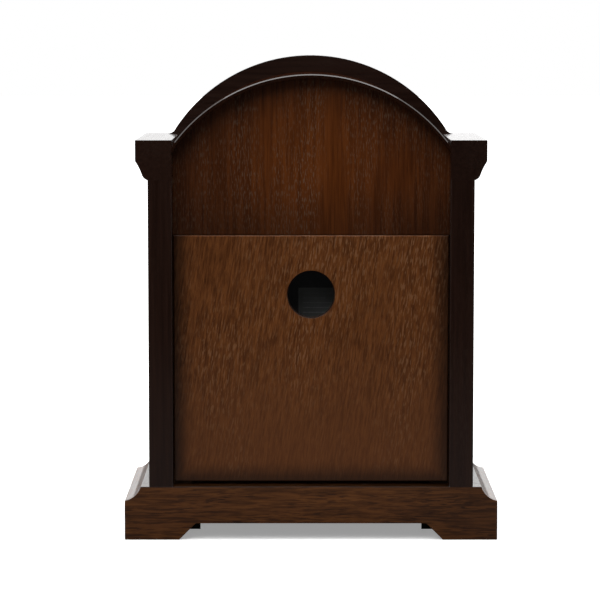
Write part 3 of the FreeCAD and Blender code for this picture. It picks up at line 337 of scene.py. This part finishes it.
def ledge_shade_and_end_darkening(s):
    """Painted shade: the plinth's flat top is painted as dark as the case, as it lies in shadow, and one
    end, at -X, is a little darker.
    """
    top = s.spread(s.axis("Z"), PLINTH_TOP - 0.6 * MM, PLINTH_TOP - 0.1 * MM, 1.0, 0.3)
    end = s.spread(s.axis("X"), -125 * MM, -20 * MM, 0.72, 1.02, soft=True)
    return s.math("MULTIPLY", top, end)


def inside_hole(s):
    """One inside the finger hole and nought outside it."""
    middle = (0.0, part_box("back_panel")[1][1], HOLE_HEIGHT)
    return s.spread(s.distance(middle), HOLE_RADIUS + 0.4 * MM, HOLE_RADIUS + 0.8 * MM, 1.0, 0.0)


def panel_painted_shade(s):
    """Painted shade: the lower panel darkens towards its sides and foot, where its recess shades it, and
    inside its hole.
    """
    low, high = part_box("back_panel")
    side = s.math("SUBTRACT", high[0], s.math("ABSOLUTE", s.axis("X")))
    foot = s.math("SUBTRACT", s.axis("Z"), low[2])
    edge = s.spread(s.math("MINIMUM", side, foot), 0.0, 15 * MM, 0.30, 1.0, soft=True)
    return s.math("MULTIPLY", edge, s.math("SUBTRACT", 1.0, s.math("MULTIPLY", inside_hole(s), 0.92)))


def panel_calm(s):
    """The lower panel's figure fades towards its foot."""
    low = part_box("back_panel")[0][2]
    return s.spread(s.axis("Z"), low + 20 * MM, low + 100 * MM, 0.45, 1.0, soft=True)


def top_dullness(s):
    """The bent top is thinly lacquered, apart from its rear edge."""
    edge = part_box("arch_top")[1][1] - 0.8 * MM
    return s.spread(s.axis("Y"), edge - 0.1 * MM, edge, 0.75, 0.0)


def arch_painted_light_and_shade(s):
    """Painted light and shade: the upper board is lightest in a patch near its middle, shaded towards
    the arch's overhang, and it darkens towards its foot.
    """
    low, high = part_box("upper_back_board")
    patch = (-14 * MM, high[1], 262 * MM)
    spot = s.spread(s.distance(patch), 18 * MM, 112 * MM, 1.0, 0.54, soft=True)
    foot = s.spread(s.axis("Z"), low[2], low[2] + 45 * MM, 0.66, 1.0, soft=True)
    return s.math("MULTIPLY", spot, foot)


def paint(material, *names):
    for name in names:
        slots = nodes[name].data.materials
        slots.clear()
        slots.append(material)


def paint_wood():
    paint(dark_wood("dark_upright", "Z"), "side_left", "side_right")
    paint(dark_wood("dark_stile", "Z", shift=(0.3, 0, 0.2)), "door_stile_left", "door_stile_right")
    paint(dark_wood("dark_rail", "X", shift=(0, 0.1, 0.4)), "door_bottom_rail", "door_arch_head",
          "glass_bead")
    paint(dark_wood("dark_crown", "X", shift=(0.2, 0.3, 0)), "crown_board", "crown_moulding")
    paint(dark_wood("dark_shoulder", "Y"), "shoulder_left", "shoulder_right")
    paint(dark_wood("dark_top", "Y", shift=(0.15, 0, 0), gloss=0.8, coat=1.0, coat_rough=0.07,
                    spec=0.0, relief=0.02, dull=top_dullness), "arch_top")
    paint(plinth_wood("plinth_long", "X", (0, 0, 0)), "plinth_back", "plinth_front")
    paint(plinth_wood("plinth_short", "Y", (0.1, 0.2, 0)), "plinth_left", "plinth_right")
    paint(wood(
        "upper_veneer", dark=(0.040, 0.0082, 0.0008), light=(0.138, 0.0340, 0.0030),
        fleck=(0.150, 0.082, 0.048), axis="Z", band=15.0, line=560.0, line_length=24.0, pore=1500.0,
        pore_length=6.5, pore_share=0.47, flecks=0.72, waviness=0.12, contrast=0.10,
        shares=(0.30, 0.44, 0.26), coat=0.5, spec=0.15, painted_shade=arch_painted_light_and_shade,
    ), "upper_back_board")
    paint(wood(
        "panel_veneer", dark=(0.043, 0.0110, 0.0018), light=(0.184, 0.0600, 0.0140),
        fleck=(0.255, 0.120, 0.055), axis="Z", turn=math.radians(-8), band=9.0, line=820.0,
        line_length=8.0, pore=1050.0, pore_length=6.5, pore_share=0.47, flecks=0.62, waviness=0.25,
        contrast=0.11, shares=(0.20, 0.50, 0.30), coat=0.5, spec=0.15, painted_shade=panel_painted_shade,
        dull=inside_hole, calm=panel_calm,
    ), "back_panel")
    paint(wood(
        "plain_ply", dark=(0.05, 0.026, 0.012), light=(0.13, 0.075, 0.038), fleck=(0.03, 0.015, 0.008),
        axis="X", band=20.0, line=260.0, flecks=0.4, gloss=0.6, coat=0.0, spec=0.2,
    ), "base_board", "case_battens", "dial_board")
    paint(wood(
        "black_stain", dark=(0.003, 0.003, 0.0035), light=(0.008, 0.008, 0.010),
        fleck=(0.012, 0.012, 0.014), axis="Z", gloss=0.6, coat=0.0, spec=0.2,
    ), "glue_blocks")


def paint_metal():
    polished = metal("polished_brass", (0.88, 0.62, 0.26), 0.16)
    paint(polished, "brass_screws", "door_hinge_screws", "hinge_case_leaves", "hinge_door_leaves",
          "hinge_pins", "door_knob", "hand_bushing", "hand_nut", "minute_arbor")
    low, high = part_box("chapter_ring")
    centre = ((low[0] + high[0]) / 2, 0.0, (low[2] + high[2]) / 2)
    paint(turned_metal("silvered_ring", (0.86, 0.85, 0.80), 0.38, centre), "chapter_ring")
    paint(metal("brushed_brass", (0.50, 0.36, 0.155), 0.40, brushed="Z"), "dial_plate")
    paint(gilt_casting("gilt_casting"), "dial_castings")
    paint(metal("bright_steel", (0.62, 0.62, 0.63), 0.28, brushed="Z", tarnish=0.12), "base_screws",
          "panel_strikes", "catch_plate", "closure_magnets", "stator", "battery_contacts")
    paint(wound_copper("wound_copper"), "coil")
    paint(metal("blued_hands", (0.022, 0.022, 0.026), 0.3, tarnish=0.3), "minute_hand", "hour_hand")


def paint_movement():
    paint(plastic("black_case", (0.055, 0.053, 0.056), 0.42), "movement_rear_shell",
          "movement_front_shell")
    paint(plastic("black_knob", (0.012, 0.012, 0.013), 0.34, grain=2600.0, depth=0.015), "set_knob",
          "volume_knob", "melody_switch")
    paint(plastic("label_foil", (0.15, 0.155, 0.15), 0.34, grain=900.0, depth=0.01), "movement_label")
    paint(plastic("white_wheels", (0.72, 0.71, 0.66), 0.38, grain=2000.0, depth=0.01), "third_wheel",
          "seconds_wheel", "step_wheel", "minute_wheel", "hour_wheel", "rotor", "train_plates")
    paint(plastic("speaker_paper", (0.016, 0.015, 0.014), 0.75, grain=900.0, depth=0.06), "speaker")
    paint(circuit("circuit_resist"), "circuit_board")
    low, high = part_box("batteries")
    paint(cell_jacket("cell_jacket", low[0], (high[0] - low[0]) / 2), "batteries")
    paint(clear_glass("door_glazing"), "door_glass")


def ease(name):
    """Rounds the sharp edges of a piece a little, as sanding does."""
    piece = nodes[name]
    weld = piece.modifiers.new("weld", "WELD")
    weld.merge_threshold = 0.002 * MM
    bevel = piece.modifiers.new("ease", "BEVEL")
    bevel.width = EASING
    bevel.segments = 2
    bevel.limit_method = "ANGLE"
    bevel.angle_limit = math.radians(35)
    flat = piece.modifiers.new("flat faces", "WEIGHTED_NORMAL")
    flat.weight = 100


# ---------------------------------------------------------------- print on the dial
def new_piece(name, page, material):
    """A piece of the case made from a page's flat shapes."""
    mesh = bpy.data.meshes.new(name)
    mesh.from_pydata(page.vertices, [], page.faces)
    mesh.materials.append(material)
    piece = bpy.data.objects.new(name, mesh)
    bpy.context.scene.collection.objects.link(piece)
    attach(piece, "case")


def around(centre, angle, out, across=0.0):
    """A point out from the centre at an angle clockwise from the top, and across from there."""
    return (centre[0] + out * math.sin(angle) + across * math.cos(angle),
            centre[1] + out * math.cos(angle) - across * math.sin(angle))


class Print:
    """Flat shapes laid on a face that looks along -Y or +Y, gathered into one mesh."""

    def __init__(self, y, lift):
        """lift is how far the ink stands off the face at y.  It sinks in about a third as far."""
        self.front, self.rear = y + lift, y - lift * 0.3
        self.vertices = []
        self.faces = []

    def shape(self, points):
        first, count = len(self.vertices), len(points)
        self.vertices += [(x, self.front, z) for x, z in points]
        self.vertices += [(x, self.rear, z) for x, z in points]
        top = list(range(first, first + count))
        self.faces.append(top if self.front < self.rear else top[::-1])
        for i in range(count):
            j = (i + 1) % count
            side = [first + i, first + count + i, first + count + j, first + j]
            self.faces.append(side if self.front < self.rear else side[::-1])

    def ring(self, centre, radius, width):
        steps, outer = 180, radius + width
        for i in range(steps):
            corners = ((radius, i), (radius, i + 1), (outer, i + 1), (outer, i))
            self.shape([around(centre, 2 * math.pi * k / steps, r) for r, k in corners])


def stroke(u0, v0, u1, v1, width):
    """A slanted bar from the lower end to the upper end, cut level at both ends."""
    half = width / 2
    return [(u0 - half, v0), (u1 - half, v1), (u1 + half, v1), (u0 + half, v0)]


def letter(kind, height):
    """Bars and serifs of I, V or X, about u = 0, and the room it takes."""
    thick, thin, serif = 0.155 * height, 0.045 * height, 0.04 * height
    top = height / 2
    if kind == "I":
        feet = [(0, -1), (0, 1)]
        bars = [stroke(0, -top, 0, top, thick)]
        reach, room = 0.14 * height, 0.285 * height
    elif kind == "V":
        half = 0.22 * height
        feet = [(-half, 1), (half, 1)]
        bars = [stroke(0, -top, -half, top, thick), stroke(0.03 * height, -top, half, top, thin)]
        reach, room = 0.13 * height, 0.62 * height
    else:
        half = 0.22 * height
        feet = [(-half, 1), (half, 1), (-half, -1), (half, -1)]
        bars = [stroke(half, -top, -half, top, thick), stroke(-half, -top, half, top, thin)]
        reach, room = 0.13 * height, 0.64 * height
    for u, side in feet:
        v = side * top
        inner = v - side * serif
        bars.append([(u - reach, v), (u + reach, v), (u + reach, inner), (u - reach, inner)])
    return bars, room


def numeral(word, height):
    """The bars of a Roman numeral, set letter by letter about u = 0."""
    rooms = [letter(kind, height)[1] for kind in word]
    u = -sum(rooms) / 2
    shapes = []
    for kind, room in zip(word, rooms):
        for bar in letter(kind, height)[0]:
            shapes.append([(p + u + room / 2, q) for p, q in bar])
        u += room
    return shapes


HOURS = ("XII", "I", "II", "III", "IIII", "V", "VI", "VII", "VIII", "IX", "X", "XI")


def dial_print():
    """A minute track between two lines, a line inside the hours, and the hours themselves."""
    low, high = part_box("chapter_ring")
    centre = ((low[0] + high[0]) / 2, (low[2] + high[2]) / 2)
    outer = (high[0] - low[0]) / 2
    track_in, track_out = outer - 5.0 * MM, outer - 1.4 * MM
    hour_radius, hour_height = outer - 13.2 * MM, 12.6 * MM
    page = Print(low[1], -0.05 * MM)
    lines = ((outer - 1.6 * MM, 0.35 * MM), (track_in, 0.35 * MM), (outer - 21.6 * MM, 0.3 * MM))
    for radius, width in lines:
        page.ring(centre, radius, width)
    for minute in range(60):
        angle = 2 * math.pi * minute / 60
        half = (0.75 if minute % 5 == 0 else 0.2) * MM
        corners = ((track_in, -half), (track_out, -half), (track_out, half), (track_in, half))
        page.shape([around(centre, angle, r, w) for r, w in corners])
    for hour, word in enumerate(HOURS):
        angle = 2 * math.pi * hour / 12
        for bar in numeral(word, hour_height):
            page.shape([around(centre, angle, hour_radius + v, u) for u, v in bar])
    new_piece("dial_numerals", page, ink("dial_ink", (0.006, 0.006, 0.008)))


def label_print():
    """Plain bars and two side lines where a label has its small print."""
    low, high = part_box("movement_label")
    page = Print(high[1], 0.03 * MM)
    left, right = high[0] - 3 * MM, low[0] + 3 * MM
    for row, share in enumerate((0.62, 0.4, 0.8, 0.55, 0.7, 0.45)):
        z = high[2] - (4.0 + 3.3 * row) * MM
        top = z + 0.55 * MM
        end = left + (right - left) * share
        page.shape([(end, z), (left, z), (left, top), (end, top)])
    foot, head = low[2] + MM, high[2] - MM
    for x in (high[0] - 0.8 * MM, low[0] + 0.4 * MM):
        across = x + 0.2 * MM
        page.shape([(x, foot), (across, foot), (across, head), (x, head)])
    new_piece("label_bars", page, ink("label_ink", (0.22, 0.225, 0.23)))


# ---------------------------------------------------------------- scrolls on the corner castings
SCROLL_TURNS = 1.35
SCROLLS = (
    # place from the corner's flower in mm, starting angle, hand, and size in mm
    ((-13.5, 1.6), 0.15, 1, 4.6),
    ((1.6, -13.5), 1.42, -1, 4.6),
    ((-23.5, 3.6), 0.3, -1, 3.2),
    ((3.6, -23.5), 1.27, 1, 3.2),
    ((-8.2, -8.2), 0.785, 1, 3.4),
)
PETALS = 8


def scroll_points(start, outer, inner, hand):
    """A spiral about the origin that winds inwards and grows thinner."""
    points = []
    steps = int(26 * SCROLL_TURNS)
    for i in range(steps + 1):
        share = i / steps
        radius = outer * (1 - share) ** 1.3 + inner * share
        angle = start + hand * share * SCROLL_TURNS * 2 * math.pi
        points.append((radius * math.cos(angle), radius * math.sin(angle), 1 - 0.55 * share))
    return points


def add_line(curve, y, points):
    """A rod through points x, z, each with its thickness."""
    spline = curve.splines.new("POLY")
    spline.points.add(len(points) - 1)
    for point, (x, z, size) in zip(spline.points, points):
        point.co = (x, y, z, 1)
        point.radius = size


def corner_scrolls():
    """Five scrolls and an eight-petalled flower on each corner casting."""
    low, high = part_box("dial_castings")
    ring_low, ring_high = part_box("chapter_ring")
    middle = (ring_low[2] + ring_high[2]) / 2
    edge = high[0] - 2.2 * MM
    y = ring_low[1] - 0.35 * MM
    curve = bpy.data.curves.new("dial_scrolls", "CURVE")
    curve.dimensions = "3D"
    curve.bevel_depth = 0.62 * MM
    curve.bevel_resolution = 3
    petal_in, petal_out = 2.6 * MM, 5.6 * MM
    for side in (-1, 1):
        for way, rise in ((-1, middle - low[2]), (1, 81 * MM)):
            flower = (side * (edge - 6.8 * MM), middle + way * (rise - 9 * MM))
            for spot, start, hand, size in SCROLLS:
                centre = (flower[0] + side * spot[0] * MM, flower[1] + way * spot[1] * MM)
                add_line(curve, y, [
                    (centre[0] + side * u, centre[1] + way * v, r)
                    for u, v, r in scroll_points(start, size * MM, 0.7 * MM, hand)
                ])
            for petal in range(PETALS):
                angle = 2 * math.pi * petal / PETALS
                add_line(curve, y - 1.2 * MM, [
                    (flower[0] + out * math.cos(angle), flower[1] + out * math.sin(angle), size)
                    for out, size in ((petal_in, 0.7), (petal_out, 1.1))
                ])
    curve.use_fill_caps = True
    curve.materials.append(bpy.data.materials["gilt_casting"])
    piece = bpy.data.objects.new("dial_scrolls", curve)
    bpy.context.scene.collection.objects.link(piece)
    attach(piece, "case")


# ---------------------------------------------------------------- room, lights and camera
def make_room():
    """A white floor that throws only a little light up on the clock, and less from far off."""
    mesh = bpy.data.meshes.new("floor")
    corners = ((-1, -1), (1, -1), (1, 1), (-1, 1))
    mesh.from_pydata([(x * SURROUND, y * SURROUND, 0) for x, y in corners], [], [(0, 1, 2, 3)])
    floor = bpy.data.objects.new("floor", mesh)
    bpy.context.scene.collection.objects.link(floor)
    s = Shader("pale_floor")
    path = s.node("LightPath").outputs["Is Camera Ray"]
    away = s.distance((0.0, 0.0, 0.0))
    bounce = s.mix(s.spread(away, 0.3, 1.3), rgba(0.11, 0.11, 0.11), rgba(0.015, 0.015, 0.015))
    s.set(Base_Color=s.mix(path, bounce, rgba(0.93, 0.93, 0.93)))
    s.set(Emission_Color=rgba(1.0, 1.0, 1.0))
    s.set(Emission_Strength=s.math("MULTIPLY", path, s.spread(away, 0.5, 2.0, 0.3, 1.0)))
    s.set(Roughness=0.9)
    s.set(Specular_IOR_Level=0.0)
    mesh.materials.append(s.material)


def make_sky():
    """White to look at.  As a light it is bright from -Y, dim from +Y, and shows in the lacquer
    as a bright band overhead."""
    world = bpy.data.worlds.new("studio")
    bpy.context.scene.world = world
    world.use_nodes = True
    tree = world.node_tree
    sky = tree.nodes["Background"]
    sky.inputs["Color"].default_value = rgba(1.0, 1.0, 1.0)

    def node(kind, *values, **settings):
        """A node with its first inputs set or linked."""
        made = tree.nodes.new("ShaderNode" + kind)
        for name, value in settings.items():
            setattr(made, name, value)
        for socket, value in zip(made.inputs, values):
            if isinstance(value, bpy.types.NodeSocket):
                tree.links.new(value, socket)
            else:
                socket.default_value = value
        return made

    way = node("TexCoord").outputs["Generated"]
    across = node("SeparateXYZ", way).outputs["Y"]
    diffuse = node("MapRange", across, -0.2, 0.6, 1.0, 0.30).outputs["Result"]
    share = node("MapRange", across, -1.0, 1.0, 0.0, 1.0).outputs["Result"]
    curve = node("ValToRGB", share)
    ramp = curve.color_ramp
    stops = (
        (0.0, 0.56), (0.25, 0.46), (0.38, 0.95), (0.56, 0.95), (0.68, 0.22), (0.80, 0.03), (1.0, 0.012),
    )
    while len(ramp.elements) < len(stops):
        ramp.elements.new(0.5)
    for element, (position, level) in zip(ramp.elements, stops):
        element.position = position
        element.color = rgba(level, level, level)
    gloss = node("Math", curve.outputs["Color"], 2.5, operation="MULTIPLY").outputs["Value"]
    path = node("LightPath")
    mirror = node("Mix", path.outputs["Is Glossy Ray"], data_type="FLOAT")
    tree.links.new(diffuse, mirror.inputs[2])
    tree.links.new(gloss, mirror.inputs[3])
    seen = node("Math", mirror.outputs[0], path.outputs["Is Camera Ray"], operation="MAXIMUM")
    tree.links.new(seen.outputs["Value"], sky.inputs["Strength"])


def soft_light(name, place, target, size, power):
    """A rectangular lamp that faces its target."""
    data = bpy.data.lights.new(name, "AREA")
    data.shape = "RECTANGLE"
    data.size, data.size_y = size
    data.energy = power
    light = bpy.data.objects.new(name, data)
    light.location = place
    light.rotation_euler = (Vector(target) - Vector(place)).to_track_quat("-Z", "Y").to_euler()
    bpy.context.scene.collection.objects.link(light)


def make_lights():
    soft_light("overhead", (0.0, 0.25, 1.9), (0, 0, 0.1), (2.2, 1.8), 36)
    soft_light("rear_fill", (0.5, 1.6, 1.5), (0, 0, 0.15), (1.4, 1.0), 14)
    soft_light("front_fill", (-0.7, -1.6, 1.3), (0, 0, 0.15), (1.4, 1.0), 12)


def make_camera():
    """Behind the clock, a little above it, looking slightly down."""
    data = bpy.data.cameras.new("camera")
    data.sensor_width = 36.0
    data.lens = 161.476
    data.clip_end = 100.0
    camera = bpy.data.objects.new("camera", data)
    camera.location = (0.00740, 1.85186, 0.34044)
    camera.rotation_euler = (math.radians(90 - 5.7248), 0.0, math.radians(180))
    bpy.context.scene.collection.objects.link(camera)
    bpy.context.scene.camera = camera


bpy.context.scene.view_settings.view_transform = "Standard"
paint_wood()
paint_metal()
paint_movement()
for board in ("plinth_front", "plinth_back", "plinth_left", "plinth_right", "shoulder_left",
              "shoulder_right", "door_stile_left", "door_stile_right", "door_bottom_rail",
              "door_arch_head"):
    ease(board)
dial_print()
label_print()
corner_scrolls()
make_room()
make_sky()
make_lights()
make_camera()
